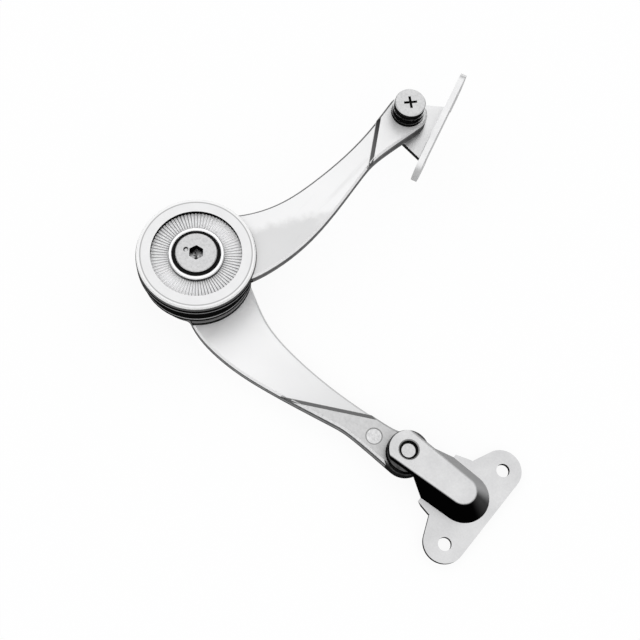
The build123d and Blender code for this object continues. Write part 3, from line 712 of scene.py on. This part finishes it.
HORIZON_TO_TENT = ((0.02, 0.10), (0.45, 1.0))  # stops of the sky's tone against height
TENT_SEAM = ((0.285, 1), (0.325, 0.80), (0.362, 0.78), (0.374, 1))  # stops of it against Y
SEAM_WAVE = {"scale": 14.0, "reach": 0.03}
SKY_STRENGTH = 1.08

CAMERA_PLACE = (-0.0181317, -0.1010782, 0.3611)
CAMERA_RIGHT = (0.76374941, 0.64083149, 0.07760049)
CAMERA_DOWN = (0.62491649, -0.70389352, -0.33765854)
CAMERA_FORWARD = (-0.16175975, 0.30638034, -0.93806443)
CAMERA_LENS = 62.39
SENSOR_WIDTH = 36.0
NEAREST_SEEN = 0.01


def white_floor():
    """White sweep under the part: it glows evenly for the eye and in reflections, and takes a soft shadow."""
    grid = bmesh.new()
    bmesh.ops.create_grid(grid, x_segments=1, y_segments=1, size=FLOOR_SIZE / 2)
    bmesh.ops.translate(grid, vec=(0, 0, FLOOR_HEIGHT), verts=grid.verts)
    sheet = object_of(grid, "floor")
    paper = Finish("white_paper", metallic=0.0)
    paper.finished(paper.grey(paper.noise(40.0), 0.93, 0.95), 0.9)
    rays = paper.node("ShaderNodeLightPath")
    seen = paper.compute("MAXIMUM", rays.outputs["Is Camera Ray"], rays.outputs["Is Glossy Ray"])
    seen = paper.compute("MAXIMUM", seen, rays.outputs["Is Transmission Ray"])
    glow = paper.node("ShaderNodeEmission")
    glow.inputs["Color"].default_value = neutral(1)
    glow.inputs["Strength"].default_value = 1.0
    share = paper.node("ShaderNodeMixShader")
    paper.link(paper.times(seen, FLOOR_GLOW), share.inputs[0])
    paper.link(paper.surface.outputs["BSDF"], share.inputs[1])
    paper.link(glow.outputs["Emission"], share.inputs[2])
    paper.link(share.outputs["Shader"], paper.output.inputs["Surface"])
    sheet.data.materials.append(paper.material)


def studio_sky():
    """White tent overhead with one soft darker seam, dimmer towards the horizon."""
    world = bpy.data.worlds.new("studio")
    bpy.context.scene.world = world
    world.use_nodes = True
    sky = Nodes(world.node_tree)

    def tones(value, stops):
        """Grey that follows a value through its stops, each a position and a tone."""
        made = sky.node("ShaderNodeValToRGB")
        elements = made.color_ramp.elements
        given = len(elements)
        for i, (position, tone) in enumerate(stops):
            stop = elements[i] if i < given else elements.new(position)
            stop.position = position
            stop.color = neutral(tone)
        sky.link(value, made.inputs["Fac"])
        return made

    place = sky.node("ShaderNodeTexCoord")
    parts = sky.node("ShaderNodeSeparateXYZ")
    sky.link(place.outputs["Generated"], parts.inputs["Vector"])
    rise = tones(parts.outputs["Z"], HORIZON_TO_TENT)
    rise.color_ramp.interpolation = "EASE"
    wave = sky.node("ShaderNodeTexNoise")
    wave.inputs["Scale"].default_value = SEAM_WAVE["scale"]
    sky.link(place.outputs["Generated"], wave.inputs["Vector"])
    along = sky.compute("MULTIPLY_ADD", wave.outputs["Fac"], SEAM_WAVE["reach"], parts.outputs["Y"])
    seam = tones(along, TENT_SEAM)
    both = sky.node("ShaderNodeMix", data_type="RGBA", blend_type="MULTIPLY")
    sky.link(1.0, both.inputs[MIX_SHARE])
    sky.link(rise.outputs["Color"], both.inputs[MIX_BELOW])
    sky.link(seam.outputs["Color"], both.inputs[MIX_ABOVE])
    background = sky.tree.nodes["Background"]
    sky.link(both.outputs[MIX_RESULT], background.inputs["Color"])
    background.inputs["Strength"].default_value = SKY_STRENGTH


def studio_camera():
    data = bpy.data.cameras.new("view")
    data.lens = CAMERA_LENS
    data.sensor_width = SENSOR_WIDTH
    data.clip_start = NEAREST_SEEN
    camera = bpy.data.objects.new("view", data)
    bpy.context.scene.collection.objects.link(camera)
    axes = (CAMERA_RIGHT, CAMERA_DOWN, CAMERA_FORWARD)
    right, down, forward = (Vector(axis).normalized() for axis in axes)
    turn = Matrix((right, -down, -forward)).transposed().to_4x4()
    camera.matrix_world = Matrix.Translation(Vector(CAMERA_PLACE)) @ turn
    bpy.context.scene.camera = camera


white_floor()
studio_sky()
studio_camera()

bpy.context.scene.view_settings.view_transform = "Standard"
